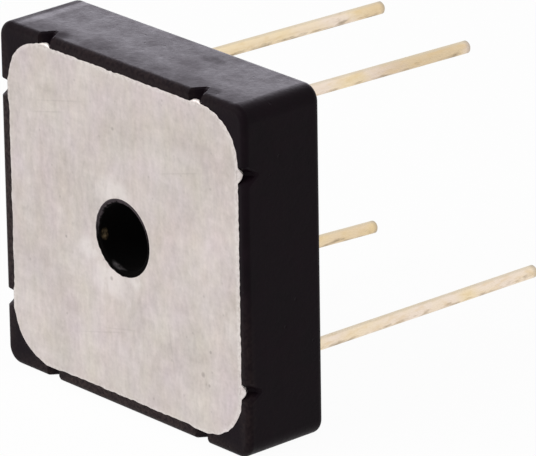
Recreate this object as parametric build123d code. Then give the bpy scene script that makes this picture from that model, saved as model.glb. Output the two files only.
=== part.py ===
from build123d import *
import os
from math import sqrt

# Square moulded bridge rectifier with four wire leads, standing on one edge.
# Millimetres, Z up. The metal base faces -Y and the leads point to +Y.
# The origin is the middle of the mounting hole, on the outer face of the base.

# Moulded case
case_side = 28.5
case_depth = 7.7
case_corner_radius = 1.35
case_front_radius = 0.5
case_back_radius = 0.55
rim_width = 0.94  # plastic seen round the base plate

# Base plate
plate_thickness = 1.5
plate_corner_radius = 4.0
plate_step = 0.3  # coined foot that the rim laps over and locks
plate_step_depth = 0.9
plate_hole_bevel = 0.05  # broken edge of the punched hole

# Mounting hole, lined by a sleeve of the case
bore_diameter = 5.5
bore_front_bevel = 0.1
bore_back_bevel = 0.3
sleeve_wall = 0.35
sleeve_recess = 0.05

# Locating notches, two in each side of the case
notch_offset = 8.75
notch_inner_width = 1.35  # where it meets the base plate
notch_inner_depth = 0.6
notch_width = 1.45  # below its rounded lip, at the side of the case
notch_depth = 1.0
notch_lip = 0.45
notch_tip_width = 0.3

# Wire leads
lead_diameter = 1.03
lead_length = 26.7
lead_tip_bevel = 0.12
lead_bend_radius = 25.0
lead_knee = 1.0  # height above the case where a lead starts to lean
head_diameter = 2.2
head_thickness = 0.4

# Places of the leads: a square grid, with the positive lead pulled in so that it fits one way only
lead_pitch = 18.1
lead_row_pitch = 17.85
index_pitch = 11.4
grid_x = 0.2
grid_z = -0.375

# How far each lead's tip stands off square, across and up
lean_ac_1 = (1.0, -0.25)
lean_positive = (-0.5, -1.05)
lean_negative = (-0.1, -1.5)
lean_ac_2 = (0.35, -0.1)

# Diode chips and the copper that joins them
insulation = 0.5  # moulding compound between the base plate and the frames
frame_thickness = 0.6
frame_margin = 0.6  # copper past the chip on each side
frame_corner_bevel = 0.8
chip_side = 4.4
chip_thickness = 0.3
chip_mesa = 0.1  # sloped edge of the chip
chip_gap = 1.0  # from the positive lead's head to the nearest chip
clip_thickness = 0.5
clip_corner_bevel = 0.8
contact_side = 3.0
contact_height = 0.2

cut_clearance = 1.0  # how far cutters run past the surface that they open

# Sizes that follow from those above
half_side = case_side / 2
plate_side = case_side - 2 * rim_width
plate_hole = bore_diameter + 2 * sleeve_wall
arm_x = lead_pitch / 2
arm_z = lead_row_pitch / 2
index_x = index_pitch - arm_x
chip_offset = chip_side / 2 + chip_gap + head_diameter / 2 - index_x
frame_start = plate_thickness + insulation
chip_start = frame_start + frame_thickness
contact_start = chip_start + chip_thickness
clip_start = contact_start + contact_height
clip_end = clip_start + clip_thickness
grid = Pos(grid_x, 0, grid_z)


def slab(outline, start, thickness):
    """Raise a flat outline, drawn across and up, into a slab that begins at depth start."""
    return extrude(Plane.XZ.offset(-start) * outline, amount=-thickness)


def base_plate():
    """Punched square plate with rounded corners, a wider foot behind and the hole for the sleeve."""
    foot_side = plate_side + 2 * plate_step
    foot = RectangleRounded(foot_side, foot_side, plate_corner_radius + plate_step)
    plate = slab(RectangleRounded(plate_side, plate_side, plate_corner_radius), 0, plate_thickness)
    plate += slab(foot, plate_step_depth, plate_thickness - plate_step_depth)
    plate -= slab(Circle(plate_hole / 2), 0, plate_thickness)
    return chamfer(plate.faces().sort_by(Axis.Y)[0].inner_wires()[0].edges(), plate_hole_bevel)


def case_block():
    """Square block with rounded corners, a rounded front rim and a rounded back edge."""
    block = slab(RectangleRounded(case_side, case_side, case_corner_radius), 0, case_depth)
    block = fillet(block.faces().sort_by(Axis.Y)[0].edges(), case_front_radius)
    return fillet(block.faces().sort_by(Axis.Y)[-1].edges(), case_back_radius)


def bore_cutter():
    """Turned cutter for the mounting hole: a recess for the sleeve's end, and bevelled lips at both ends."""
    radius = bore_diameter / 2
    recess_radius = plate_hole / 2 + plate_hole_bevel
    front_radius = radius + bore_front_bevel
    back_radius = radius + bore_back_bevel
    outline = Polyline(
        (0, -cut_clearance),
        (recess_radius, -cut_clearance),
        (recess_radius, sleeve_recess),
        (front_radius, sleeve_recess),
        (radius, sleeve_recess + bore_front_bevel),
        (radius, case_depth - bore_back_bevel),
        (back_radius, case_depth),
        (back_radius, case_depth + cut_clearance),
        (0, case_depth + cut_clearance),
        close=True,
    )
    return revolve(make_face(outline), Axis.Y)


def notch_outline(width, depth, height):
    """Pointed outline at a height: open to the front, with sides that slope to a blunt tip at the depth."""
    half_width = width / 2
    half_tip = notch_tip_width / 2
    outline = make_face(Polyline(
        (-half_width, -cut_clearance),
        (half_width, -cut_clearance),
        (half_width, 0),
        (half_tip, depth),
        (-half_tip, depth),
        (-half_width, 0),
        close=True,
    ))
    return Plane.XY.offset(height) * outline


def notch_cutter():
    """Cutter for a notch in the top side above the origin: it widens and deepens from the plate to its lip."""
    turn = notch_lip * (1 - sqrt(0.5))  # halfway round the lip
    flare = turn + cut_clearance
    return loft([
        notch_outline(notch_inner_width, notch_inner_depth, plate_side / 2),
        notch_outline(notch_width, notch_depth, half_side - notch_lip),
        notch_outline(notch_width + 2 * turn, notch_depth + turn, half_side - turn),
        notch_outline(notch_width + 2 * flare, notch_depth + flare, half_side - turn + cut_clearance / 2),
    ], ruled=True)


def elbow(width, end, side_x, side_z, corner_bevel):
    """L-shaped outline round one corner of the lead grid, with both arms ending that far past the middle."""
    inner_x = arm_x - width / 2
    outer_x = arm_x + width / 2
    inner_z = arm_z - width / 2
    outer_z = arm_z + width / 2
    corners = [(-end, inner_z), (inner_x, inner_z), (inner_x, -end), (outer_x, -end), (outer_x, outer_z),
               (-end, outer_z)]
    outline = make_face(Polyline([(side_x * x, side_z * z) for x, z in corners], close=True))
    return chamfer(outline.vertices(), corner_bevel)


def copper_frame(side):
    """Flat copper frame that carries two chips, in the upper right (1) or lower left (-1) corner."""
    width = chip_side + 2 * frame_margin
    end = chip_offset + chip_side / 2 + frame_margin
    return grid * slab(elbow(width, end, side, side, frame_corner_bevel), frame_start, frame_thickness)


def copper_clip(side):
    """Copper clip over two chips, in the lower right (1) or upper left (-1) corner, with a contact on each."""
    end = chip_side / 2 - chip_offset
    clip = slab(elbow(chip_side, end, side, -side, clip_corner_bevel), clip_start, clip_thickness)
    for x, z in ((arm_x, -chip_offset), (chip_offset, -arm_z)):
        contact = Pos(side * x, side * z) * Rectangle(contact_side, contact_side)
        clip += slab(contact, contact_start, contact_height)
    return grid * clip


def diode_chip(x, z):
    """Square silicon chip with a sloped edge on its clip side."""
    chip = slab(Pos(x, z) * Rectangle(chip_side, chip_side), chip_start, chip_thickness)
    return grid * chamfer(chip.faces().sort_by(Axis.Y)[-1].edges(), chip_mesa)


def wire_lead(x, z, start, lean):
    """Wire with an upset head on its copper, square through the case and leaning from its knee on."""
    across, up = lean
    run = lead_length - lead_knee
    foot = Vector(x, start, z)
    knee = Vector(x, case_depth + lead_knee, z)
    tip = knee + Vector(across, sqrt(run**2 - across**2 - up**2), up)
    path = FilletPolyline(foot, knee, tip, radius=lead_bend_radius)
    wire = sweep(Plane(foot, z_dir=(0, 1, 0)) * Circle(lead_diameter / 2), path=path)
    wire = chamfer(wire.faces().sort_by(Axis.Y)[-1].edges(), lead_tip_bevel)
    return grid * (wire + slab(Pos(x, z) * Circle(head_diameter / 2), start, head_thickness))


inner_pieces = {
    "base_plate": base_plate(),
    "positive_frame": copper_frame(1),
    "negative_frame": copper_frame(-1),
    "ac_clip_1": copper_clip(-1),
    "ac_clip_2": copper_clip(1),
    "diode_chip_1": diode_chip(-chip_offset, arm_z),
    "diode_chip_2": diode_chip(arm_x, -chip_offset),
    "diode_chip_3": diode_chip(-arm_x, chip_offset),
    "diode_chip_4": diode_chip(chip_offset, -arm_z),
    "lead_ac_1": wire_lead(-arm_x, arm_z, clip_end, lean_ac_1),
    "lead_positive": wire_lead(index_x, arm_z, chip_start, lean_positive),
    "lead_negative": wire_lead(-arm_x, -arm_z, chip_start, lean_negative),
    "lead_ac_2": wire_lead(arm_x, -arm_z, clip_end, lean_ac_2),
}

# The case is moulded round everything else
case = case_block() - bore_cutter()
notch = notch_cutter()
for side_turn in (0, 90, 180, 270):
    for offset in (-notch_offset, notch_offset):
        case -= Rot(0, side_turn, 0) * Pos(offset, 0, 0) * notch
for piece in inner_pieces.values():
    case -= piece

os.makedirs("parts", exist_ok=True)
for name, piece in {"moulded_case": case, **inner_pieces}.items():
    export_step(piece, f"parts/{name}.step")
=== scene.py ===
"""Bridge rectifier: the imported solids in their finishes, on a pale floor in plain studio light.

Sizes and places are in millimetres, and are turned to the frame's metres where they meet Blender.
"""
import logging
from dataclasses import dataclass, field
from enum import Enum
from math import pi, radians
from typing import Any

import bpy
import numpy as np
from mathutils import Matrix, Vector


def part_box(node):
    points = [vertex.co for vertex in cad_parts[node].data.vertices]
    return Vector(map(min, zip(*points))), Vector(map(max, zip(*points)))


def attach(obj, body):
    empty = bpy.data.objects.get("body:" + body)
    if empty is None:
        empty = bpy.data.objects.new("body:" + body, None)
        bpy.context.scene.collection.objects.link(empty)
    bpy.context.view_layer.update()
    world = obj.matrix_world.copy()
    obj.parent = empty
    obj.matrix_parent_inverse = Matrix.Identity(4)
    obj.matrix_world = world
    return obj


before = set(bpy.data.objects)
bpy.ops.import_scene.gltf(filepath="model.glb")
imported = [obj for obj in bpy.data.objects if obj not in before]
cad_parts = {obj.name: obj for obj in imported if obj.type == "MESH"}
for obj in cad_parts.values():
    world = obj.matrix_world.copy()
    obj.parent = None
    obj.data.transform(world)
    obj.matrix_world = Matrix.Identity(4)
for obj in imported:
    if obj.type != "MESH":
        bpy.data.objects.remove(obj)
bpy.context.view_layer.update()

log = logging.getLogger("bridge_rectifier")

MM = 0.001  # one millimetre in the frame's metres
BODY = "root"
CASE_LOW, CASE_HIGH = (np.round(np.array(corner) / MM, 3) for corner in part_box("moulded_case"))

Pair = tuple[float, float]
Triple = tuple[float, float, float]
Tree = bpy.types.NodeTree
Node = bpy.types.Node
Socket = bpy.types.NodeSocket


class Sign(Enum):
    """What is printed beside a lead."""

    PLUS = "plus"
    MINUS = "minus"
    WAVE = "wave"


def linear(colour: str) -> tuple[float, ...]:
    """Turn an sRGB hex colour into linear light.

    Args:
        colour: A hash and six hex digits.

    Returns:
        Red, green, blue and alpha.
    """
    srgb = np.array([int(colour[i:i + 2], 16) for i in (1, 3, 5)]) / 255
    light = np.where(srgb <= 0.04045, srgb / 12.92, ((srgb + 0.055) / 1.055) ** 2.4)
    return (*light.tolist(), 1.0)


def per_mm(size: float) -> float:
    """Give the texture scale at which one cell or wave is that many millimetres."""
    return 1 / (size * MM)


def add(tree: Tree, kind: str, inputs: dict[Any, Any] | None = None, **settings: Any) -> Node:
    """Add a node with its settings and links.

    Inputs go by number where names repeat. A colour Mix goes by 0 from 6 to 7. A Map Range takes 0 from one
    span into another, by 1 to 4, or a vector from the span 7 to 8.

    Args:
        tree: The node tree to add to.
        kind: Blender's name for the node, without its first word ShaderNode.
        inputs: A value, a socket, or a node whose first live output is meant, for each input.
        settings: Properties of the node itself.

    Returns:
        The new node.
    """
    node = tree.nodes.new(f"ShaderNode{kind}")
    for name, value in settings.items():
        setattr(node, name, value)
    for key, value in (inputs or {}).items():
        if isinstance(value, Node):
            value = next(output for output in value.outputs if output.enabled)
        if isinstance(value, Socket):
            tree.links.new(value, node.inputs[key])
        else:
            node.inputs[key].default_value = value
    return node


def spans(source: Pair, target: Pair = (0.0, 1.0)) -> dict[int, float]:
    """Give the inputs by which a Map Range takes one span of values into another."""
    return dict(enumerate((*source, *target), start=1))


def mottle(tree: Tree, place: Socket, size: Triple, detail: float, roughness: float = 0.5) -> Node:
    """Draw a cloudy pattern.

    Args:
        tree: The material's nodes.
        place: The point on the surface.
        size: How long its clouds are across, deep and up.
        detail: How many layers of finer clouds it has.
        roughness: How much strength each layer keeps of the one before.

    Returns:
        The pattern, mostly between a third and two thirds.
    """
    scaled = add(tree, "Mapping", {"Vector": place, "Scale": [per_mm(length) for length in size]})
    return add(tree, "TexNoise", {"Vector": scaled, "Scale": 1.0, "Detail": detail, "Roughness": roughness})


@dataclass(frozen=True)
class Mark:
    """A place that looks unlike the rest of its surface, as far as an ellipsoid reaches."""

    centre: Triple
    radii: Triple
    strength: float = 1.0
    tint: str = "#000000"
    core: float = 0.4  # share of the radii that is marked in full

    def shape(self, tree: Tree, place: Socket) -> Node:
        """Draw the mark's shape.

        Args:
            tree: The material's nodes.
            place: The point on the surface.

        Returns:
            One in the ellipsoid's core, fading to nothing at its skin.
        """
        unit = add(tree, "Mapping", {
            "Vector": place,
            "Location": [-c / r for c, r in zip(self.centre, self.radii)],
            "Scale": [per_mm(r) for r in self.radii],
        })
        out = add(tree, "VectorMath", {0: unit}, operation="LENGTH")
        return add(tree, "MapRange", {0: out, **spans((1.0, self.core))})


def ripple(along: np.ndarray, length: float, waves: tuple[int, int], seed: int) -> np.ndarray:
    """Give an uneven line that closes on itself.

    A sum of sine waves that each fit a whole number of times into the length, with seeded phases and with
    heights that fall with the root of that number, scaled to a spread of one.

    Args:
        along: Distances along the line.
        length: The line's whole length.
        waves: The fewest and the most waves in that length.
        seed: Picks the phases.

    Returns:
        The height at each distance.
    """
    count = np.arange(waves[0], waves[1] + 1)
    phase = np.random.default_rng(seed).uniform(0, 2 * pi, count.size)
    height = 1 / np.sqrt(count)
    return np.sin(along[:, None] * count * 2 * pi / length + phase) @ height / np.sqrt((height**2).sum() / 2)


def rounded_square(side: float, radius: float, count: int) -> tuple[np.ndarray, np.ndarray, np.ndarray]:
    """Walk once round a square with rounded corners, drawn across and up about the origin.

    Each quarter is a straight run and then an arc. With the arc's angle held at nothing on the run, both are
    one formula: the end of the run, plus the radius times the outward direction at that angle. Quarters are
    turned copies of the first.

    Args:
        side: The square's side.
        radius: The corners' radius. Half the side makes a circle.
        count: How many steps the walk has.

    Returns:
        The points, the outward directions there, and the distances along the walk.
    """
    run = side - 2 * radius
    quarter = run + radius * pi / 2
    along = np.linspace(0, 4 * quarter, count + 1)
    turn = np.minimum(along // quarter, 3)
    local = along - turn * quarter
    angle = np.clip((local - run) / radius, 0, pi / 2)
    out = np.stack([np.sin(angle + turn * pi / 2), np.cos(angle + turn * pi / 2)], -1)
    x, z = np.minimum(local, run) - run / 2, np.full_like(local, run / 2)
    cos, sin = np.cos(turn * pi / 2), np.sin(turn * pi / 2)
    middle = np.stack([x * cos + z * sin, z * cos - x * sin], -1)
    return middle + radius * out, out, along


def bead(path: np.ndarray, side: np.ndarray, inner: np.ndarray, outer: np.ndarray,
         depth: float | np.ndarray, height: float | np.ndarray, around: int = 10) -> np.ndarray:
    """Carry a flat bead along a path on a face that is square to Y.

    The profile is an ellipse: across the path it goes from inner to outer, and along Y it stands height on
    both sides of depth.

    Args:
        path: Points of the path, across and up.
        side: The direction across the path at each point.
        inner: How far one side of the bead is from the path.
        outer: How far the other side is.
        depth: The bead's middle along Y, for the whole path or for each point.
        height: How far the bead stands out on both sides of that.
        around: How many points the profile has.

    Returns:
        Rings by points by three.
    """
    angle = np.linspace(0, 2 * pi, around, endpoint=False)
    across = (inner + outer)[:, None] / 2 + (outer - inner)[:, None] / 2 * np.cos(angle)
    flat = path[:, None, :] + side[:, None, :] * across[..., None]
    y = np.reshape(depth, (-1, 1)) + np.reshape(height, (-1, 1)) * np.sin(angle)
    return np.stack([flat[..., 0], np.broadcast_to(y, across.shape), flat[..., 1]], -1)


def skin(name: str, points: np.ndarray, material: bpy.types.Material) -> None:
    """Make a closed piece from rings of points and let it ride on the part.

    The grid closes round each ring. Its first and last rings join if they are alike in place, and are
    otherwise drawn shut as polygons. The faces are turned outwards if the volume, a sixth of the sum of each
    face's triple product, comes out negative.

    Args:
        name: The piece's name.
        points: Rings by points by three.
        material: The piece's finish.
    """
    around = points.shape[1]
    loop = np.allclose(points[0], points[-1])
    grid = points[:-1] if loop else points
    number = np.arange(len(grid) * around).reshape(len(grid), around)
    rows = np.vstack([number, number[:1]]) if loop else number
    rows = np.hstack([rows, rows[:, :1]])
    quads = np.stack([rows[:-1, :-1], rows[1:, :-1], rows[1:, 1:], rows[:-1, 1:]], -1).reshape(-1, 4)
    corners = grid.reshape(-1, 3)[quads]
    volume = np.einsum("ij,ij->", corners[:, 0], np.cross(corners[:, 1], corners[:, 2]))
    volume += np.einsum("ij,ij->", corners[:, 0], np.cross(corners[:, 2], corners[:, 3]))
    faces = quads.tolist()
    if not loop:
        faces += [number[0].tolist(), number[-1][::-1].tolist()]
    if volume < 0:
        faces = [face[::-1] for face in faces]
    mesh = bpy.data.meshes.new(name)
    mesh.from_pydata((grid.reshape(-1, 3) * MM).tolist(), [], faces)
    mesh.shade_smooth()
    mesh.materials.append(material)
    piece = bpy.data.objects.new(name, mesh)
    bpy.context.scene.collection.objects.link(piece)
    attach(piece, BODY)
    log.info("%s: %d faces", name, len(faces))


@dataclass(frozen=True)
class Finish:
    """One real material and the way its surface was made."""

    name: str

    def sockets(self, tree: Tree, place: Socket) -> dict[str, Any]:
        """Draw the finish's pattern.

        Args:
            tree: The material's nodes.
            place: The point on the surface, in object coordinates.

        Returns:
            What goes into each of the shader's sockets.
        """
        raise NotImplementedError

    def material(self) -> bpy.types.Material:
        """Make a material from the finish's pattern.

        Returns:
            The material, named for the finish.
        """
        material = bpy.data.materials.new(self.name)
        material.use_nodes = True
        tree = material.node_tree
        tree.nodes.clear()
        place = add(tree, "TexCoord").outputs["Object"]
        shader = add(tree, "BsdfPrincipled", self.sockets(tree, place))
        add(tree, "OutputMaterial", {"Surface": shader})
        return material

    def dress(self, nodes: tuple[str, ...]) -> bpy.types.Material:
        """Put the finish on CAD nodes.

        Args:
            nodes: The nodes' names.

        Returns:
            The material, for new pieces of the same finish.
        """
        material = self.material()
        for name in nodes:
            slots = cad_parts[name].data.materials
            slots.clear()
            slots.append(material)
            log.info("%s: %s", name, self.name)
        return material


@dataclass(frozen=True)
class MouldedEpoxy(Finish):
    """Black epoxy moulding compound: a dull, cloudy skin with pinholes, with painted shade darkening the
    bore.

    It is grey where its edges were rubbed, with a painted edge highlight, and on the upper left of its
    sleeve's end, a painted highlight. It is dusty on the rim round the base, and has two painted glints in
    the bore.
    """

    name: str = "moulded_epoxy"
    dark: str = "#040104"
    pale: str = "#1b1017"
    # grey of rubbed edges; it also paints the edge highlight and the highlight on the sleeve's end
    rubbed: str = "#4b4447"
    # painted shade that darkens the bore
    deep: str = "#020101"
    ior: float = 1.15
    roughness: Pair = (0.41, 0.55)
    bore_roughness: float = 0.45  # what the bore has on top of that
    cloud: float = 2.2
    grain: float = 0.3  # the real filler is finer, and is drawn this coarse so that it shows
    grain_share: float = 0.35  # of the grain beside the clouds, in relief and gloss
    uneven: Pair = (0.47, 0.87)  # span of that sum
    relief: Pair = (0.5, 0.08)  # how strongly it shows, and how high it is
    pinhole: float = 1.8  # from one to the next
    pinhole_radii: Pair = (0.04, 0.08)  # of its floor and mouth, as shares of that distance
    edge_wear_and_highlight: float = 0.7  # width of the rubbed edges and their painted highlight
    edge_wear_and_highlight_span: Pair = (0.3, 0.8)  # from where the clouds let the rubbing and its painted highlight show to where they are full
    edge_wear_and_highlight_share: float = 0.12
    sleeve: Pair = (2.9, 3.25)  # inner and outer radius of the sleeve's end
    ragged: float = 0.6  # how far the grain draws in that ring
    sleeve_highlight_edge: Pair = (0.44, 0.3)  # inside the inner radius, where the painted highlight on the sleeve's end starts and is full
    sleeve_highlight_feather: float = 0.1  # where it ends, inside the outer radius
    sleeve_highlight_lean: Triple = (-0.06, -1.5, 0.28)  # how it grows with each millimetre across, deep and up
    sleeve_highlight_span: Pair = (0.45, 0.9)
    bore_end: Pair = (0.1, 0.4)  # where the painted shade of the bore ends and is full, before the case's back
    dust_span: Pair = (0.35, 0.65)  # of the grain that breaks up the stains
    dust: Pair = (0.3, 1.7)
    marks: tuple[Mark, ...] = (  # handling marks on the top side, by what they add to the roughness
        Mark((-12.15, 4.0, 14.25), (0.6, 6.0, 0.6), -0.1),
        Mark((-13.2, 4.0, 14.25), (0.8, 6.0, 0.8), 0.16),
        Mark((4.6, 5.6, 14.25), (1.6, 0.8, 0.6), 0.07),
        Mark((13.6, 4.0, 14.25), (1.0, 6.0, 0.6), 0.05),
        Mark((0.0, 0.4, 14.25), (40.0, 2.4, 0.6), 0.09),
        Mark((9.5, 0.9, 14.25), (1.0, 1.0, 0.6), 0.12),
        Mark((-7.8, 0.9, 14.25), (1.1, 1.0, 0.6), 0.16),
    )
    stains: tuple[Mark, ...] = (  # dust on the four sides of the rim, then a painted bronze glint on the bore's left wall and a painted highlight on its lower lip
        Mark((-13.9, 0.0, 0.0), (1.6, 1.0, 15.0), 0.17, "#6a5c58"),
        Mark((0.0, 0.0, -13.9), (15.0, 1.0, 1.6), 0.15, "#6a5a55"),
        Mark((13.9, 0.0, -8.0), (1.0, 1.0, 9.0), 0.06, "#6a5a55"),
        Mark((0.0, 0.0, 13.9), (15.0, 0.8, 1.2), 0.06, "#6a5a55"),
        Mark((-2.7, 0.5, -0.5), (0.5, 0.4, 0.55), 0.3, "#b09874"),
        Mark((-0.9, 0.3, -2.6), (1.1, 0.28, 0.5), 0.26, "#8a8486"),
    )

    def edges(self, tree: Tree, place: Socket) -> Node:
        """Find the case's edges, where two of the distances from its middle are near their ends. They get the
        rubbing and a painted highlight.

        Args:
            tree: The material's nodes.
            place: The point on the surface.

        Returns:
            One on the edges, and nothing away from them.
        """
        middle, half = (CASE_LOW + CASE_HIGH) / 2, (CASE_HIGH - CASE_LOW) / 2
        unit = add(tree, "Mapping", {
            "Vector": place, "Location": -middle / half, "Scale": [per_mm(h) for h in half]})
        out = add(tree, "VectorMath", {0: unit}, operation="ABSOLUTE")
        near = add(tree, "MapRange", {"Vector": out, 7: 1 - self.edge_wear_and_highlight / half, 8: (1, 1, 1)},
                   data_type="FLOAT_VECTOR")
        x, y, z = add(tree, "SeparateXYZ", {0: near}).outputs
        most = 0.0
        for a, b in ((x, y), (y, z), (z, x)):
            both = add(tree, "Math", {0: a, 1: b}, operation="MULTIPLY")
            most = add(tree, "Math", {0: both, 1: most}, operation="MAXIMUM")
        return most

    def from_bore(self, tree: Tree, place: Socket, grain: Node) -> Node:
        """Measure from the bore's axis.

        Args:
            tree: The material's nodes.
            place: The point on the surface.
            grain: The pattern that makes the distance ragged.

        Returns:
            The ragged distance, in metres.
        """
        flat = add(tree, "VectorMath", {0: place, 1: (1, 0, 1)}, operation="MULTIPLY")
        out = add(tree, "VectorMath", {0: flat}, operation="LENGTH")
        return add(tree, "Math", {0: grain, 1: -self.ragged * MM, 2: out}, operation="MULTIPLY_ADD")

    def bore(self, tree: Tree, place: Socket, reach: Node) -> Node:
        """Find the bore and the sleeve's end, but not the face round the bore at the back. Shade is painted
        and the roughness raised there.

        Args:
            tree: The material's nodes.
            place: The point on the surface.
            reach: The ragged distance from the bore's axis.

        Returns:
            One in the bore.
        """
        inner, outer = self.sleeve
        near = add(tree, "MapRange", {0: reach, **spans((outer * MM, inner * MM))})
        depth = add(tree, "SeparateXYZ", {0: place}).outputs[1]
        end, full = (CASE_HIGH[1] - before for before in self.bore_end)
        inside = add(tree, "MapRange", {0: depth, **spans((end * MM, full * MM))})
        return add(tree, "Math", {0: near, 1: inside}, operation="MULTIPLY")

    def sleeve_highlight(self, tree: Tree, place: Socket, reach: Node, cloud: Node) -> Node:
        """Find the painted highlight on the sleeve's end, strongest at its upper left.

        Args:
            tree: The material's nodes.
            place: The point on the surface.
            reach: The ragged distance from the bore's axis.
            cloud: The pattern that breaks up the highlight.

        Returns:
            How strong the painted highlight is there.
        """
        inner, outer = self.sleeve
        start, full = (inner - inside for inside in self.sleeve_highlight_edge)
        rise = add(tree, "MapRange", {0: reach, **spans((start * MM, full * MM))})
        fall = add(tree, "MapRange", {0: reach, **spans((outer * MM, (outer - self.sleeve_highlight_feather) * MM))})
        slope = [growth / MM for growth in self.sleeve_highlight_lean]
        lean = add(tree, "VectorMath", {0: place, 1: slope}, operation="DOT_PRODUCT")
        more = add(tree, "Math", {0: lean, 1: cloud}, operation="ADD")
        patch = add(tree, "MapRange", {0: more, **spans(self.sleeve_highlight_span)})
        ring = add(tree, "Math", {0: rise, 1: fall}, operation="MULTIPLY")
        return add(tree, "Math", {0: ring, 1: patch}, operation="MULTIPLY")

    def sockets(self, tree: Tree, place: Socket) -> dict[str, Any]:
        """Draw clouds and pinholes in the black, rubbed edges with a painted highlight, marks, dust, painted
        shade and two painted glints in the bore, and a painted highlight on the sleeve's end.

        Args:
            tree: The material's nodes.
            place: The point on the surface.

        Returns:
            What goes into each of the shader's sockets.
        """
        cloud = mottle(tree, place, (self.cloud,) * 3, detail=5.0, roughness=0.65)
        grain = mottle(tree, place, (self.grain,) * 3, detail=2.0)
        reach = self.from_bore(tree, place, grain)
        bore = self.bore(tree, place, reach)
        sleeve_highlight_share = self.sleeve_highlight(tree, place, reach, cloud)
        worn_and_painted_light = add(tree, "Math", {0: self.edges(tree, place), 1: cloud}, operation="MULTIPLY")
        share = add(tree, "MapRange", {0: worn_and_painted_light, **spans(self.edge_wear_and_highlight_span, (0.0, self.edge_wear_and_highlight_share))})
        # rubbed edges with their painted highlight, and the painted highlight on the sleeve's end
        grey = add(tree, "Math", {0: share, 1: sleeve_highlight_share}, operation="MAXIMUM")
        colour = linear(self.dark)
        # mixing to deep in the bore is painted shade; grey holds the rubbing and the painted highlights
        for share, tint in ((cloud, self.pale), (bore, self.deep), (grey, self.rubbed)):
            colour = add(tree, "Mix", {0: share, 6: colour, 7: linear(tint)}, data_type="RGBA")
        broken = add(tree, "MapRange", {0: grain, **spans(self.dust_span, self.dust)})
        # the last two stains are a painted glint and a painted highlight in the bore
        for stain in self.stains:
            share = add(tree, "Math", {0: stain.shape(tree, place), 1: stain.strength}, operation="MULTIPLY")
            share = add(tree, "Math", {0: share, 1: broken}, operation="MULTIPLY")
            colour = add(tree, "Mix", {0: share, 6: colour, 7: linear(stain.tint)}, data_type="RGBA")

        holes = add(tree, "TexVoronoi", {"Vector": place, "Scale": per_mm(self.pinhole)})
        pit = add(tree, "MapRange", {0: holes, **spans(self.pinhole_radii)})
        mixed = add(tree, "Math", {0: grain, 1: self.grain_share, 2: cloud}, operation="MULTIPLY_ADD")
        height = add(tree, "Math", {0: mixed, 1: pit}, operation="MULTIPLY")
        strong, high = self.relief
        bump = add(tree, "Bump", {"Height": height, "Strength": strong, "Distance": high * MM})
        dull = add(tree, "MapRange", {0: mixed, **spans(self.uneven, self.roughness)})
        changes = [(mark.shape(tree, place), mark.strength) for mark in self.marks]
        for share, change in (*changes, (bore, self.bore_roughness)):
            dull = add(tree, "Math", {0: share, 1: change, 2: dull}, operation="MULTIPLY_ADD")
        return {"Base Color": colour, "Roughness": dull, "IOR": self.ior, "Normal": bump}


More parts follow.
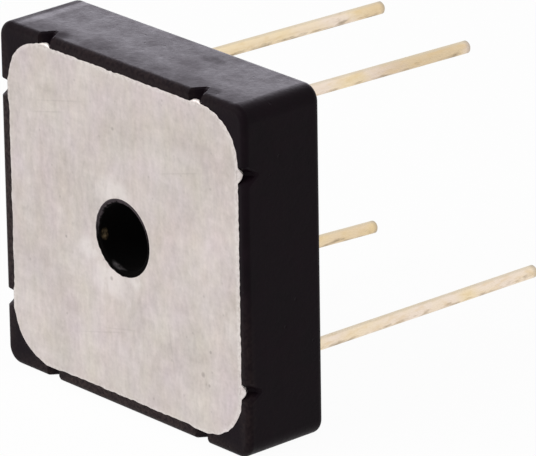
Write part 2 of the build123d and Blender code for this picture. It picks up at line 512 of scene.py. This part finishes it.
@dataclass(frozen=True)
class BrushedAluminium(Finish):
    """Rolled and brushed aluminium sheet: soft upright grain, cloudy stains, scratches, and a painted
    highlight on its rim and round its hole.
    """

    side: float = field(kw_only=True)  # of the plate
    corner: float = field(kw_only=True)
    hole: float = field(kw_only=True)
    name: str = "brushed_aluminium"
    pale: str = "#dfdad8"
    dark: str = "#bfbab7"
    oil: str = "#ffffee"
    blush: str = "#fff3ff"
    # the washer's rubbed smears, and the painted highlight at the rim and round the hole
    bright: str = "#f0ebe8"
    soot: str = "#8a807b"
    roughness: Pair = (0.5, 0.38)  # of the dark and the pale metal
    relief: Pair = (0.3, 0.01)  # how strongly it shows, and how high it is
    grain: Triple = (0.42, 0.42, 1.3)  # real brushing is finer, and is drawn this coarse so that it shows
    band: Triple = (3.0, 3.0, 0.6)
    blotch: Triple = (0.8, 0.8, 1.15)
    stain: Triple = (6.0, 6.0, 6.0)
    speck: Triple = (0.28, 0.28, 0.28)
    shares: tuple[float, ...] = (0.34, 0.22, 0.5, 0.72, 0.29)  # of those five in the metal's tone
    tones: Pair = (0.74, 1.34)  # span of that sum
    films: tuple[Triple, ...] = ((2.6, 2.6, 3.9), (3.4, 3.4, 5.1))  # of oil, and of a pink blush
    pit: float = 1.5  # from one to the next
    pit_radii: Pair = (0.1, 0.03)  # where one ends and is full, as shares of that distance
    pit_share: float = 0.6  # beside the larger dents
    dirt: float = 0.45  # how much soot fills them
    lip_highlight: float = 0.2  # width of the painted highlight round the hole
    rim_highlight_span: Pair = (-0.35, -0.1)  # where the painted highlight by the plate's edge starts and is full
    smear_span: Pair = (0.36, 0.46)  # of the blotches that break up the smears
    smear_shares: Pair = (0.2, 0.4)
    fringe_span: Pair = (0.35, 0.6)  # of the specks that break up the painted highlight
    fringe_shares: Pair = (0.1, 0.4)
    scratch_width: float = 0.1
    scratch_share: float = 0.15  # how much it takes off the tone
    smears: tuple[Mark, ...] = (  # rubbed bright by a washer
        Mark((-0.9, 0.0, 3.5), (2.3, 1.0, 1.5)),
        Mark((-1.6, 0.0, -3.8), (2.6, 1.0, 1.9)),
        Mark((1.4, 0.0, -3.2), (1.0, 1.0, 0.9)),
        Mark((-4.0, 0.0, -1.9), (1.7, 1.0, 1.2)),
    )
    dents: tuple[Mark, ...] = (
        Mark((9.1, 0.0, -8.6), (0.28, 0.28, 0.28)),
        Mark((-1.4, 0.0, -3.7), (0.22, 0.22, 0.22)),
        Mark((10.0, 0.0, -6.5), (0.18, 0.18, 0.18)),
        Mark((9.8, 0.0, -9.3), (0.17, 0.17, 0.17)),
        Mark((-0.9, 0.0, 8.7), (0.2, 0.2, 0.2)),
        Mark((-6.7, 0.0, -1.7), (0.16, 0.16, 0.16)),
    )
    scratches: tuple[tuple[Pair, Pair], ...] = (  # both ends, across and up
        ((-10.8, 7.5), (-6.0, 8.7)),
        ((-10.2, 8.6), (-4.3, 10.0)),
        ((-5.6, -9.3), (0.7, -7.6)),
        ((-2.6, -8.1), (1.5, -7.2)),
        ((4.2, 6.4), (9.6, 7.9)),
        ((5.0, -4.6), (5.9, -10.2)),
    )

    def scratch(self, tree: Tree, place: Socket, ends: tuple[Pair, Pair]) -> Node:
        """Draw one straight scratch, on coordinates turned so that it lies along their first axis.

        Args:
            tree: The material's nodes.
            place: The point on the surface.
            ends: Both ends, across and up.

        Returns:
            One on the scratch, fading towards its ends.
        """
        start, end = np.array(ends)
        half = np.linalg.norm(end - start) / 2
        turn = np.arctan2(*(end - start)[::-1])
        x, z = (start + end) / 2 * MM
        centred = add(tree, "VectorMath", {0: place, 1: (-x, 0, -z)}, operation="ADD")
        turned = add(tree, "Mapping", {"Vector": centred, "Rotation": (0, turn, 0)})
        out = add(tree, "VectorMath", {0: turned}, operation="ABSOLUTE")
        near = add(tree, "MapRange", {
            "Vector": out, 7: (half * MM, 1, self.scratch_width * MM), 8: (half / 2 * MM, 0, 0),
        }, data_type="FLOAT_VECTOR")
        x, _, z = add(tree, "SeparateXYZ", {0: near}).outputs
        return add(tree, "Math", {0: x, 1: z}, operation="MULTIPLY")

    def rim(self, tree: Tree, place: Socket) -> Node:
        """Measure outwards past the plate's edge, a rounded square.

        Half the straight run comes off both distances from the plate's middle, down to nothing. The length of
        what is left, less the corner's radius, is the distance past the edge.

        Args:
            tree: The material's nodes.
            place: The point on the surface.

        Returns:
            The distance in metres, negative inside.
        """
        straight = (self.side / 2 - self.corner) * MM
        out = add(tree, "VectorMath", {0: place}, operation="ABSOLUTE")
        past = add(tree, "VectorMath", {0: out, 1: (straight, 1, straight)}, operation="SUBTRACT")
        only = add(tree, "VectorMath", {0: past, 1: (0, 0, 0)}, operation="MAXIMUM")
        reach = add(tree, "VectorMath", {0: only}, operation="LENGTH")
        return add(tree, "Math", {0: reach, 1: self.corner * MM}, operation="SUBTRACT")

    def pitted(self, tree: Tree, place: Socket) -> Node:
        """Draw the scattered pits and the larger dents, with the soot in them.

        Args:
            tree: The material's nodes.
            place: The point on the surface.

        Returns:
            How sooty the metal is.
        """
        holes = add(tree, "TexVoronoi", {"Vector": place, "Scale": per_mm(self.pit)})
        pit = add(tree, "MapRange", {0: holes, **spans(self.pit_radii, (0.0, self.pit_share))})
        for dent in self.dents:
            pit = add(tree, "Math", {0: dent.shape(tree, place), 1: pit}, operation="MAXIMUM")
        return add(tree, "Math", {0: pit, 1: self.dirt}, operation="MULTIPLY")

    def smears_and_highlights(self, tree: Tree, place: Socket, blotch: Node, speck: Node) -> Node:
        """Draw the smears round the hole, and a painted highlight round the hole's edge and the plate's rim.

        Args:
            tree: The material's nodes.
            place: The point on the surface.
            blotch: The pattern that breaks up the smears.
            speck: The pattern that breaks up the painted highlight.

        Returns:
            How bright the metal is, from rubbing and from the painted highlight.
        """
        washer = 0.0
        for smear in self.smears:
            washer = add(tree, "Math", {0: smear.shape(tree, place), 1: washer}, operation="MAXIMUM")
        flat = add(tree, "VectorMath", {0: place, 1: (1, 0, 1)}, operation="MULTIPLY")
        out = add(tree, "VectorMath", {0: flat}, operation="LENGTH")
        radius = self.hole / 2
        lip_highlight = add(tree, "MapRange", {0: out, **spans(((radius + self.lip_highlight) * MM, radius * MM))})
        start, full = self.rim_highlight_span
        edge = add(tree, "MapRange", {0: self.rim(tree, place), **spans((start * MM, full * MM))})
        # painted highlight round the hole and along the plate's rim
        bare = add(tree, "Math", {0: lip_highlight, 1: edge}, operation="MAXIMUM")
        broken = []
        for shape, pattern, span, shares in ((washer, blotch, self.smear_span, self.smear_shares),
                                             (bare, speck, self.fringe_span, self.fringe_shares)):
            share = add(tree, "MapRange", {0: pattern, **spans(span, shares)})
            broken.append(add(tree, "Math", {0: shape, 1: share}, operation="MULTIPLY"))
        return add(tree, "Math", {0: broken[0], 1: broken[1]}, operation="MAXIMUM")

    def sockets(self, tree: Tree, place: Socket) -> dict[str, Any]:
        """Draw the grain along Z, faint bands across it, stains, films, scratches, pits, rubbed smears and a
        painted highlight at the hole and the rim.

        Args:
            tree: The material's nodes.
            place: The point on the surface.

        Returns:
            What goes into each of the shader's sockets.
        """
        grain = mottle(tree, place, self.grain, detail=1.5)
        band = mottle(tree, place, self.band, detail=1.0)
        blotch = mottle(tree, place, self.blotch, detail=3.0)
        stain = mottle(tree, place, self.stain, detail=3.0)
        speck = mottle(tree, place, self.speck, detail=1.0)
        layers = list(zip((grain, band, blotch, stain, speck), self.shares))
        layers += [(self.scratch(tree, place, ends), -self.scratch_share) for ends in self.scratches]
        tone = 0.0
        for pattern, amount in layers:
            tone = add(tree, "Math", {0: pattern, 1: amount, 2: tone}, operation="MULTIPLY_ADD")
        share = add(tree, "MapRange", {0: tone, **spans(self.tones)})
        colour = add(tree, "Mix", {0: share, 6: linear(self.dark), 7: linear(self.pale)}, data_type="RGBA")
        for size, tint in zip(self.films, (self.oil, self.blush)):
            film = mottle(tree, place, size, detail=2.0)
            colour = add(tree, "Mix", {0: film, 6: colour, 7: linear(tint)}, data_type="RGBA",
                         blend_type="MULTIPLY")
        # bright is the rubbed smears and the painted highlight
        bright, sooty = self.smears_and_highlights(tree, place, blotch, speck), self.pitted(tree, place)
        for amount, tint in ((bright, self.bright), (sooty, self.soot)):
            colour = add(tree, "Mix", {0: amount, 6: colour, 7: linear(tint)}, data_type="RGBA")
        gloss = add(tree, "MapRange", {0: share, **spans((0.0, 1.0), self.roughness)})
        strong, high = self.relief
        bump = add(tree, "Bump", {"Height": tone, "Strength": strong, "Distance": high * MM})
        return {"Base Color": colour, "Metallic": 1.0, "Roughness": gloss, "Normal": bump}


@dataclass(frozen=True)
class TinnedWire(Finish):
    """Drawn copper wire with a dull tin coat: satin cream and pink with gold specks, greyer on top from
    painted shade.

    It is brown where it was rubbed, more so underneath where shade is painted, and its cut ends are dark.
    """

    name: str = "tinned_wire"
    cream: str = "#efdcba"
    pink: str = "#efdfcf"
    gold: str = "#dcbf8c"
    brown: str = "#9f8d75"
    # painted shade on the upward faces
    shade: str = "#d4c9b4"
    bare: str = "#98918a"
    roughness: Pair = (0.36, 0.5)
    gloss_span: Pair = (0.3, 0.7)  # of the patches
    relief: Pair = (0.3, 0.02)  # how strongly it shows, and how high it is
    blush: float = 4.0
    blush_span: Pair = (0.4, 0.6)
    patch: Triple = (0.5, 1.6, 0.5)  # coarser than the real coat's crystals, so that it shows
    finer: float = 1.4  # how many specks go to a patch's length
    fleck: Triple = (0.48, 0.72, 0.4)  # span of the specks that are gold, and how gold they are
    upper: Triple = (0.82, 1.0, 0.7)  # span of the upward faces that get painted shade, and how grey it makes them
    under: Pair = (0.45, -0.4)  # span of upward to downward faces
    under_rub_and_shade: Pair = (-0.16, 0.05)  # what that adds to the patches: painted shade, browner underneath
    worn_and_painted_light: Triple = (0.5, 0.72, 0.8)  # span of the patches and that painted shade that are brown, and how brown they are
    cut: Triple = (33.8, 34.3, 0.6)  # where a cut end starts and is full, and how dark it is
    stains: tuple[Mark, ...] = (
        Mark((-8.5, 19.0, 8.5), (3.0, 9.0, 3.0), 0.8, "#efdcba"),
        Mark((-7.9, 34.3, 8.3), (2.0, 4.0, 2.0), 0.4, "#d2b48a"),
        Mark((2.3, 29.0, 7.8), (3.0, 8.0, 3.0), 0.33, "#b0916f"),
        Mark((-8.9, 33.0, -10.6), (3.0, 9.0, 3.0), 0.4, "#d8bb82"),
    )

    def sockets(self, tree: Tree, place: Socket) -> dict[str, Any]:
        """Draw a pink blush, stains, gold specks, painted shade on the upper side, rubbed patches with
        painted shade underneath, and dark cut ends.

        Args:
            tree: The material's nodes.
            place: The point on the surface.

        Returns:
            What goes into each of the shader's sockets.
        """
        patch = mottle(tree, place, self.patch, detail=4.0, roughness=0.6)
        speck = mottle(tree, place, tuple(length / self.finer for length in self.patch), detail=2.0)
        blush = mottle(tree, place, (self.blush,) * 3, detail=1.0)
        normal = add(tree, "TexCoord").outputs["Normal"]
        facing = add(tree, "SeparateXYZ", {0: normal}).outputs[2]
        depth = add(tree, "SeparateXYZ", {0: place}).outputs[1]
        # painted shade: downward faces are pushed towards the brown patches
        under = add(tree, "MapRange", {0: facing, **spans(self.under, self.under_rub_and_shade)})
        rub_and_shade = add(tree, "Math", {0: patch, 1: under}, operation="ADD")
        warm = add(tree, "MapRange", {0: blush, **spans(self.blush_span)})
        layers = [(warm, self.pink)]
        for stain in self.stains:
            share = add(tree, "Math", {0: stain.shape(tree, place), 1: stain.strength}, operation="MULTIPLY")
            layers.append((share, stain.tint))
        cut = (self.cut[0] * MM, self.cut[1] * MM, self.cut[2])
        # upward faces get the painted shade colour
        for pattern, (start, full, most), tint in (
                (speck, self.fleck, self.gold), (facing, self.upper, self.shade),
                (rub_and_shade, self.worn_and_painted_light, self.brown), (depth, cut, self.bare)):
            share = add(tree, "MapRange", {0: pattern, **spans((start, full), (0.0, most))})
            layers.append((share, tint))
        colour = linear(self.cream)
        for share, tint in layers:
            colour = add(tree, "Mix", {0: share, 6: colour, 7: linear(tint)}, data_type="RGBA")
        gloss = add(tree, "MapRange", {0: patch, **spans(self.gloss_span, self.roughness)})
        strong, high = self.relief
        bump = add(tree, "Bump", {"Height": speck, "Strength": strong, "Distance": high * MM})
        return {"Base Color": colour, "Metallic": 1.0, "Roughness": gloss, "Normal": bump}


@dataclass(frozen=True)
class MarkingInk(Finish):
    """Stamped epoxy ink: flat, off-white, thin enough for the black to show through in specks."""

    name: str = "marking_ink"
    pale: str = "#cfccc4"
    thin: str = "#8f8c88"
    roughness: float = 0.7
    relief: Pair = (0.3, 0.01)  # how strongly it shows, and how high it is
    speck: float = 0.18  # coarser than the real pigment, so that it shows
    thin_span: Pair = (0.5, 0.7)

    def sockets(self, tree: Tree, place: Socket) -> dict[str, Any]:
        """Draw the thin specks.

        Args:
            tree: The material's nodes.
            place: The point on the surface.

        Returns:
            What goes into each of the shader's sockets.
        """
        speck = mottle(tree, place, (self.speck,) * 3, detail=3.0)
        share = add(tree, "MapRange", {0: speck, **spans(self.thin_span)})
        colour = add(tree, "Mix", {0: share, 6: linear(self.pale), 7: linear(self.thin)}, data_type="RGBA")
        strong, high = self.relief
        bump = add(tree, "Bump", {"Height": speck, "Strength": strong, "Distance": high * MM})
        return {"Base Color": colour, "Roughness": self.roughness, "Normal": bump}


@dataclass(frozen=True)
class RolledCopper(Finish):
    """Punched copper strip: satin orange metal with rolling lines."""

    name: str = "rolled_copper"
    bright: str = "#d08a62"
    brown: str = "#9c5f40"
    roughness: float = 0.38
    line: Triple = (4.0, 0.2, 0.2)  # coarser than real rolling lines, so that they show

    def sockets(self, tree: Tree, place: Socket) -> dict[str, Any]:
        """Draw the rolling lines.

        Args:
            tree: The material's nodes.
            place: The point on the surface.

        Returns:
            What goes into each of the shader's sockets.
        """
        lines = mottle(tree, place, self.line, detail=2.0)
        colour = add(tree, "Mix", {0: lines, 6: linear(self.bright), 7: linear(self.brown)}, data_type="RGBA")
        return {"Base Color": colour, "Metallic": 1.0, "Roughness": self.roughness}


@dataclass(frozen=True)
class SiliconChip(Finish):
    """Lapped silicon with a metal coat: smooth blue-grey with a fine frosted grain."""

    name: str = "silicon_chip"
    grey: str = "#6c7078"
    blue: str = "#565c68"
    roughness: float = 0.25
    frost: float = 0.15  # coarser than the real lapping, so that it shows

    def sockets(self, tree: Tree, place: Socket) -> dict[str, Any]:
        """Draw the frosted grain.

        Args:
            tree: The material's nodes.
            place: The point on the surface.

        Returns:
            What goes into each of the shader's sockets.
        """
        frost = mottle(tree, place, (self.frost,) * 3, detail=2.0)
        colour = add(tree, "Mix", {0: frost, 6: linear(self.grey), 7: linear(self.blue)}, data_type="RGBA")
        return {"Base Color": colour, "Metallic": 1.0, "Roughness": self.roughness}


@dataclass
class BasePlate:
    """The aluminium base that lies on a heat sink, with the burr that punching left round it."""

    side: float = 26.62
    corner: float = 4.0
    hole: float = 6.2
    notch_offset: float = 8.75  # of the case's notches, from the middle of each side
    edge_steps: int = 1600
    burr: Pair = (-0.06, 0.022)  # mean width, and spread of its ripple
    burr_waves: tuple[int, int] = (20, 200)
    burr_seed: int = 8
    burr_least: float = 0.002
    lean: Pair = (0.22, 0.11)  # how much wider it is to the right and at the top
    lap: float = 0.06  # how far it reaches back over the plate
    film: float = 0.012  # how far it stands out
    taper: float = 0.04  # width below which it is thinner
    lump: Triple = (0.62, 0.26, 0.22)  # half length, width and depth of its lumps in the notches
    lump_rise: float = 20.0  # how soon they grow with the lean

    def edge(self) -> tuple[np.ndarray, np.ndarray, np.ndarray, np.ndarray]:
        """Walk round the plate's edge.

        Returns:
            The points, the outward directions there, the distances along the walk, and how far each point is
            from the middle of a notch.
        """
        path, out, along = rounded_square(self.side, self.corner, self.edge_steps)
        return path, out, along, np.abs(np.min(np.abs(path), axis=1) - self.notch_offset)

    def edge_burr(self, metal: bpy.types.Material) -> None:
        """Run a burr round the plate's edge.

        Its width is a mean, a ripple, and a lean times the outward direction, which is most at the upper
        right. In the notches there, where nothing covers the edge, it swells to lumps that lie flush with the
        plate, each the first quarter of a cosine over its half length.

        Args:
            metal: The plate's material.
        """
        path, out, along, beside = self.edge()
        mean, spread = self.burr
        reach, wide, deep = self.lump
        lean = out @ self.lean
        swell = np.cos(np.clip(beside / reach, 0, 1) * pi / 2) * np.clip(self.lump_rise * lean, 0, 1)
        width = mean + lean + spread * ripple(along, along[-1], self.burr_waves, self.burr_seed)
        width = np.clip(width, self.burr_least, None)
        film = self.film * np.clip(width / self.taper, 0, 1) * (1 - swell)
        inner, outer = -self.lap - wide * swell, width + wide * swell
        burr = bead(path, out, inner, outer, deep * swell, film + deep * swell)
        skin("edge_burr", burr, metal)

    def build(self) -> None:
        """Dress the plate and raise its burr."""
        finish = BrushedAluminium(side=self.side, corner=self.corner, hole=self.hole)
        self.edge_burr(finish.dress(("base_plate",)))


@dataclass
class MouldedBody:
    """The black case, with the thin flash that moulding leaves on the base."""

    plate: BasePlate
    lean: Pair = (-0.13, -0.11)  # how much wider the flash is to the right and at the top
    spread: float = 0.02  # of its ripple
    plate_waves: tuple[int, int] = (12, 150)
    plate_seed: int = 3
    least: float = 0.004  # its narrowest
    hair: float = 0.002  # what is left of it in a notch
    notch_clear: float = 0.8  # from a notch's middle to the flash
    notch_fade: float = 0.5
    lap: float = 0.01  # how far it reaches onto the rim
    film: float = 0.015  # how far it stands out
    taper: float = 0.04  # width below which it is thinner
    sleeve_steps: int = 360
    sleeve_waves: tuple[int, int] = (5, 40)
    sleeve_seed: int = 5
    sleeve_least: float = 0.03
    sleeve_lap: float = 0.12  # how far the inner flash reaches onto the sleeve's end
    sleeve_depth: float = 0.02
    sleeve_film: float = 0.035

    def plate_flash(self, epoxy: bpy.types.Material) -> None:
        """Run a film round the base's edge.

        Its width is a ripple, and a lean times the outward direction, which is most at the lower left. It
        goes to a hair at the notches.

        Args:
            epoxy: The case's material.
        """
        path, out, along, beside = self.plate.edge()
        whole = np.clip((beside - self.notch_clear) / self.notch_fade, 0, 1)
        width = out @ self.lean + self.spread * ripple(along, along[-1], self.plate_waves, self.plate_seed)
        width = np.clip(width, self.least, None) * whole + self.hair
        film = self.film * np.clip(width / self.taper, 0, 1)
        flash = bead(path, out, -width, self.lap * whole + self.hair / 2, 0.0, film)
        skin("mould_flash", flash, epoxy)

    def sleeve_flash(self, epoxy: bpy.types.Material) -> None:
        """Run a film round the base's hole, from the sleeve's end over the hole's broken edge.

        Its width is a ripple, and half the lean times the outward direction.

        Args:
            epoxy: The case's material.
        """
        path, out, along = rounded_square(self.plate.hole, self.plate.hole / 2, self.sleeve_steps)
        uneven = self.spread * ripple(along, along[-1], self.sleeve_waves, self.sleeve_seed)
        width = np.clip(out @ self.lean / 2 + uneven, self.sleeve_least, None)
        inner = np.full_like(width, -self.sleeve_lap)
        flash = bead(path, out, inner, width, self.sleeve_depth, self.sleeve_film)
        skin("sleeve_flash", flash, epoxy)

    def build(self) -> None:
        """Dress the case and lay its flash."""
        epoxy = MouldedEpoxy().dress(("moulded_case",))
        self.plate_flash(epoxy)
        self.sleeve_flash(epoxy)


@dataclass
class PolarityMarks:
    """The signs beside the leads, on the lead side of the case."""

    face: float = CASE_HIGH[1]
    size: float = 1.9
    stroke: float = 0.36
    swing: float = 0.32  # height of the wave
    film: float = 0.012
    overlay: float = 0.3  # how much more a second stroke stands out, as a share of the film
    steps: int = 33
    places: tuple[tuple[str, Sign, float, float], ...] = (  # lead, sign, across and up
        ("ac_1", Sign.WAVE, -8.85, 5.3),
        ("positive", Sign.PLUS, 2.55, 5.3),
        ("negative", Sign.MINUS, -8.85, -6.05),
        ("ac_2", Sign.WAVE, 9.25, -6.05),
    )

    def strokes(self, sign: Sign) -> list[np.ndarray]:
        """Draw a sign about the origin, as lines that start at the viewer's left.

        Args:
            sign: The sign to draw.

        Returns:
            A path, across and up, for each stroke: one straight line, two that cross, or one turn of a sine.
        """
        share = np.linspace(0, 1, self.steps)
        line = np.stack([(0.5 - share) * self.size, np.zeros_like(share)], -1)
        if sign is Sign.MINUS:
            return [line]
        if sign is Sign.PLUS:
            return [line, line[:, ::-1]]
        return [line + np.stack([np.zeros_like(share), self.swing * np.sin(2 * pi * share)], -1)]

    def build(self) -> None:
        """Print the signs, with the second stroke of one a little over the first."""
        ink = MarkingInk().material()
        for lead, sign, x, z in self.places:
            for number, line in enumerate(self.strokes(sign)):
                along = np.gradient(line, axis=0)
                side = np.stack([-along[:, 1], along[:, 0]], -1) / np.linalg.norm(along, axis=1)[:, None]
                half = np.full(len(line), self.stroke / 2)
                film = self.film * (1 + self.overlay * number)
                bar = bead(line + (x, z), side, -half, half, self.face, film)
                skin(f"mark_{lead}_{number + 1}", bar, ink)


@dataclass
class WireLeads:
    """The four wire leads."""

    nodes: tuple[str, ...] = ("lead_ac_1", "lead_positive", "lead_negative", "lead_ac_2")

    def build(self) -> None:
        """Dress the leads."""
        TinnedWire().dress(self.nodes)


@dataclass
class DiodeBridge:
    """The chips and the copper inside the case."""

    copper: tuple[str, ...] = ("positive_frame", "negative_frame", "ac_clip_1", "ac_clip_2")
    chips: tuple[str, ...] = ("diode_chip_1", "diode_chip_2", "diode_chip_3", "diode_chip_4")

    def build(self) -> None:
        """Dress the chips, frames and clips."""
        RolledCopper().dress(self.copper)
        SiliconChip().dress(self.chips)


@dataclass
class Lamp:
    """A soft box that faces the part, by its angles in degrees and its distance from the part."""

    name: str
    azimuth: float
    elevation: float
    distance: float
    width: float
    watts: float
    colour: str = "#ffffff"
    lights: tuple[str, ...] = ()  # the only nodes that it lights, if it names any

    def build(self) -> None:
        """Hang the lamp, turn it to the part, and keep its light to the nodes that it names."""
        turn, rise = radians(self.azimuth), radians(self.elevation)
        away = np.array([np.sin(turn) * np.cos(rise), -np.cos(turn) * np.cos(rise), np.sin(rise)])
        light = bpy.data.lights.new(self.name, "AREA")
        light.size = self.width * MM
        light.energy = self.watts
        light.color = linear(self.colour)[:3]
        lamp = bpy.data.objects.new(self.name, light)
        lamp.location = (away * self.distance * MM).tolist()
        lamp.rotation_euler = (pi / 2 - rise, 0, turn)
        lamp.visible_camera = False
        bpy.context.scene.collection.objects.link(lamp)
        if self.lights:
            lit = bpy.data.collections.new(f"lit_by_{self.name}")
            for name in self.lights:
                lit.objects.link(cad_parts[name])
            lamp.light_linking.receiver_collection = lit


@dataclass
class Studio:
    """Pale floor, white surroundings, soft lamps and the camera at the photograph's place."""

    floor_gap: float = 0.01  # under the case, so that the two don't share a face
    floor_side: float = 4000.0
    floor_steps: int = 8
    floor_colour: str = "#f4f4f4"
    floor_white: float = 0.96  # how white the floor is where it is seen, which leaves a faint shadow
    ambient: float = 0.45
    camera_place: Triple = (375.998, -318.928, 191.721)
    camera_turn: Triple = (68.8101, 0.8502, 48.0709)  # degrees
    camera_lens: float = 464.419
    camera_sensor: float = 36.0
    camera_reach: Pair = (10.0, 20000.0)  # the nearest and the farthest that it sees
    lamps: tuple[Lamp, ...] = (
        Lamp("back_left_box", 228.4, 24.0, 420.0, 320.0, 1.84, "#f6f1ff", ("moulded_case",)),
        Lamp("front_left_box", -20.0, 40.0, 450.0, 300.0, 1.0),
    )

    def shown(self, tree: Tree) -> Node:
        """Find the rays that show the background: straight from the camera, off gloss, or through glass.

        Args:
            tree: The nodes of the floor or the surroundings.

        Returns:
            One for those rays, and nothing for the rest.
        """
        path = add(tree, "LightPath").outputs
        gloss = add(tree, "Math", {0: path["Is Camera Ray"], 1: path["Is Glossy Ray"]}, operation="ADD")
        return add(tree, "Math", {0: gloss, 1: path["Is Transmission Ray"]}, operation="ADD", use_clamp=True)

    def floor(self) -> None:
        """Lay the floor: a flat square grid, white where it is seen, that keeps a faint shadow."""
        half = self.floor_side / 2 * MM
        row = np.linspace(-half, half, self.floor_steps + 1)
        x, y = np.meshgrid(row, row)
        height = np.full_like(x, (CASE_LOW[2] - self.floor_gap) * MM)
        number = np.arange(x.size).reshape(x.shape)
        faces = np.stack([number[:-1, :-1], number[:-1, 1:], number[1:, 1:], number[1:, :-1]], -1)
        points = np.stack([x, y, height], -1)
        mesh = bpy.data.meshes.new("floor")
        mesh.from_pydata(points.reshape(-1, 3).tolist(), [], faces.reshape(-1, 4).tolist())
        material = bpy.data.materials.new("pale_floor")
        material.use_nodes = True
        tree = material.node_tree
        tree.nodes.clear()
        pale = add(tree, "BsdfDiffuse", {"Color": linear(self.floor_colour)})
        white = add(tree, "Emission", {"Strength": 1.0})
        share = add(tree, "Math", {0: self.shown(tree), 1: self.floor_white}, operation="MULTIPLY")
        both = add(tree, "MixShader", {0: share, 1: pale, 2: white})
        add(tree, "OutputMaterial", {"Surface": both})
        mesh.materials.append(material)
        floor = bpy.data.objects.new("floor", mesh)
        bpy.context.scene.collection.objects.link(floor)

    def surroundings(self) -> None:
        """Light the part evenly from all round, and show white behind it."""
        world = bpy.data.worlds.new("studio")
        world.use_nodes = True
        tree = world.node_tree
        tree.nodes.clear()
        soft = add(tree, "Background", {"Color": linear("#ffffff"), "Strength": self.ambient})
        white = add(tree, "Background", {"Color": linear("#ffffff"), "Strength": 1.0})
        both = add(tree, "MixShader", {0: self.shown(tree), 1: soft, 2: white})
        add(tree, "OutputWorld", {"Surface": both})
        bpy.context.scene.world = world

    def camera(self) -> None:
        """Set the camera where the photograph was taken from."""
        lens = bpy.data.cameras.new("camera")
        lens.sensor_width = self.camera_sensor
        lens.lens = self.camera_lens
        lens.clip_start, lens.clip_end = (reach * MM for reach in self.camera_reach)
        camera = bpy.data.objects.new("camera", lens)
        camera.location = (np.array(self.camera_place) * MM).tolist()
        camera.rotation_euler = [radians(angle) for angle in self.camera_turn]
        bpy.context.scene.collection.objects.link(camera)
        bpy.context.scene.camera = camera

    def build(self) -> None:
        """Set up the floor, surroundings, lamps and camera."""
        bpy.context.scene.view_settings.view_transform = "Standard"
        self.floor()
        self.surroundings()
        for lamp in self.lamps:
            lamp.build()
        self.camera()


def main() -> None:
    """Build and dress the part, then the studio."""
    logging.basicConfig(level=logging.INFO, format="%(message)s")
    plate = BasePlate()
    for assembly in (MouldedBody(plate), PolarityMarks(), plate, WireLeads(), DiodeBridge(), Studio()):
        assembly.build()


if __name__ == "__main__":
    main()
